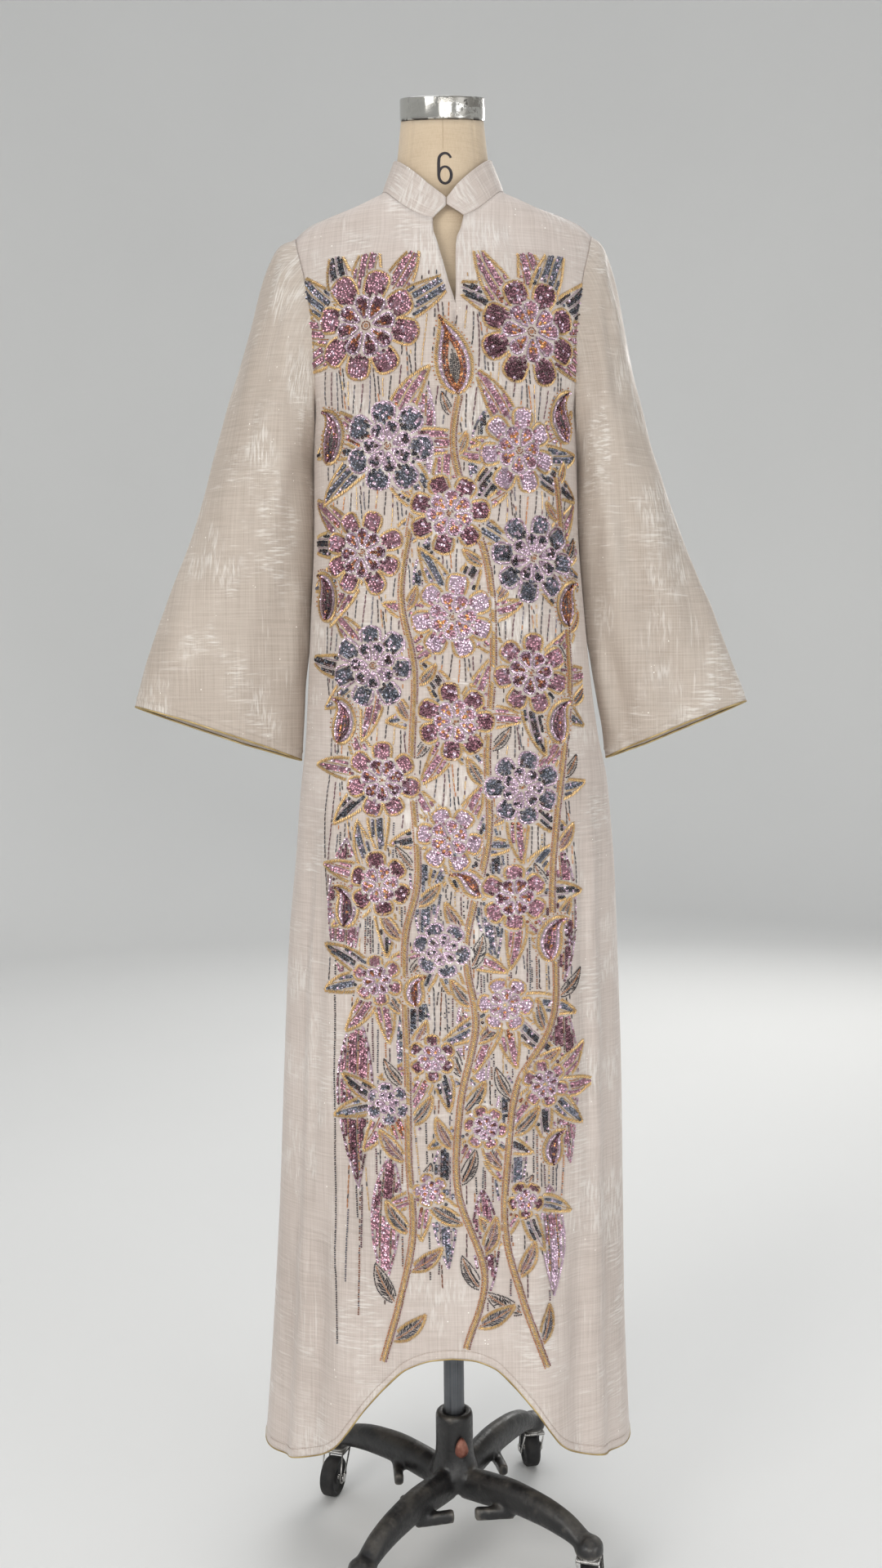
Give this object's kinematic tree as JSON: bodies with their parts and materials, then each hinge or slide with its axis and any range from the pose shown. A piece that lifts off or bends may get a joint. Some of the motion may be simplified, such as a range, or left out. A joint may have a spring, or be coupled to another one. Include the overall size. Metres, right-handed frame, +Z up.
{
  "type": "abaya on a dress form with a wheeled stand",
  "caption": "Long loose abaya with wide sleeves, stand collar, neck slit, beaded front and arched hem, worn by a limbless dress form on a caster stand.",
  "frame": {"origin": "on the floor, at the middle of the stand, below the form's upright axis", "axes": "+Z up along the pole, -Y towards the front of the garment, -X towards the wearer's right sleeve"},
  "size_m": [0.738, 0.4269, 1.768],
  "materials": {
    "linen": "pale rose-beige slubbed linen with a metallic thread shimmer",
    "piping": "narrow gold metallic piping",
    "beadwork": "sequins and glass beads in mauve, slate, copper and gold",
    "form_cloth": "tan plain-weave cotton over a padded form",
    "cap": "scratched chrome cap",
    "pole": "grey drawn steel tube",
    "casting": "black enamelled cast iron, worn on its edges",
    "screw": "reddish bronze clamp screw",
    "fork": "plated pressed steel",
    "tread": "black rubber tread"
  },
  "bodies": {
    "base": {"stand_base": "casting"},
    "form": {"dress_form": "form_cloth", "neck_cap": "cap", "pole": "pole", "front_panel": "linen", "back_panel": "linen", "sleeve_right": "linen", "sleeve_left": "linen", "collar": "linen", "cuff_piping_right": "piping", "cuff_piping_left": "piping", "hem_piping_front": "piping", "hem_piping_back": "piping"},
    "clamp": {"clamp_screw": "screw"},
    "caster_1": {"caster_fork_1": "fork"},
    "wheel_1": {"caster_wheel_1": "tread"},
    "caster_2": {"caster_fork_2": "fork"},
    "wheel_2": {"caster_wheel_2": "tread"},
    "caster_3": {"caster_fork_3": "fork"},
    "wheel_3": {"caster_wheel_3": "tread"},
    "caster_4": {"caster_fork_4": "fork"},
    "wheel_4": {"caster_wheel_4": "tread"}
  },
  "joints": [
    {"name": "pole_slide", "type": "slide", "parent": "base", "child": "form", "axis": [0, 0, 1], "range_m": [-0.05, 0.1]},
    {"name": "clamp_turn", "type": "hinge", "parent": "base", "child": "clamp", "pos_m": [0, 0, 0.132], "axis": [0.309, -0.9511, 0], "range_deg": [-180, 180]},
    {"name": "swivel_1", "type": "hinge", "parent": "base", "child": "caster_1", "pos_m": [0.15551, -0.13049, 0.06], "axis": [0, 0, 1], "continuous": true},
    {"name": "spin_1", "type": "hinge", "parent": "caster_1", "child": "wheel_1", "pos_m": [0.15965, -0.11503, 0.025], "axis": [-0.9659, 0.2588, 0], "continuous": true},
    {"name": "swivel_2", "type": "hinge", "parent": "base", "child": "caster_2", "pos_m": [0.10757, 0.17215, 0.06], "axis": [0, 0, 1], "continuous": true},
    {"name": "spin_2", "type": "hinge", "parent": "caster_2", "child": "wheel_2", "pos_m": [0.10479, 0.18791, 0.025], "axis": [-0.9848, -0.1736, 0], "continuous": true},
    {"name": "swivel_3", "type": "hinge", "parent": "base", "child": "caster_3", "pos_m": [-0.15551, 0.13049, 0.06], "axis": [0, 0, 1], "continuous": true},
    {"name": "spin_3", "type": "hinge", "parent": "caster_3", "child": "wheel_3", "pos_m": [-0.16098, 0.11545, 0.025], "axis": [0.9397, -0.342, 0], "continuous": true},
    {"name": "swivel_4", "type": "hinge", "parent": "base", "child": "caster_4", "pos_m": [-0.10757, -0.17215, 0.06], "axis": [0, 0, 1], "continuous": true},
    {"name": "spin_4", "type": "hinge", "parent": "caster_4", "child": "wheel_4", "pos_m": [-0.11171, -0.18761, 0.025], "axis": [0.9659, -0.2588, 0], "continuous": true}
  ]
}
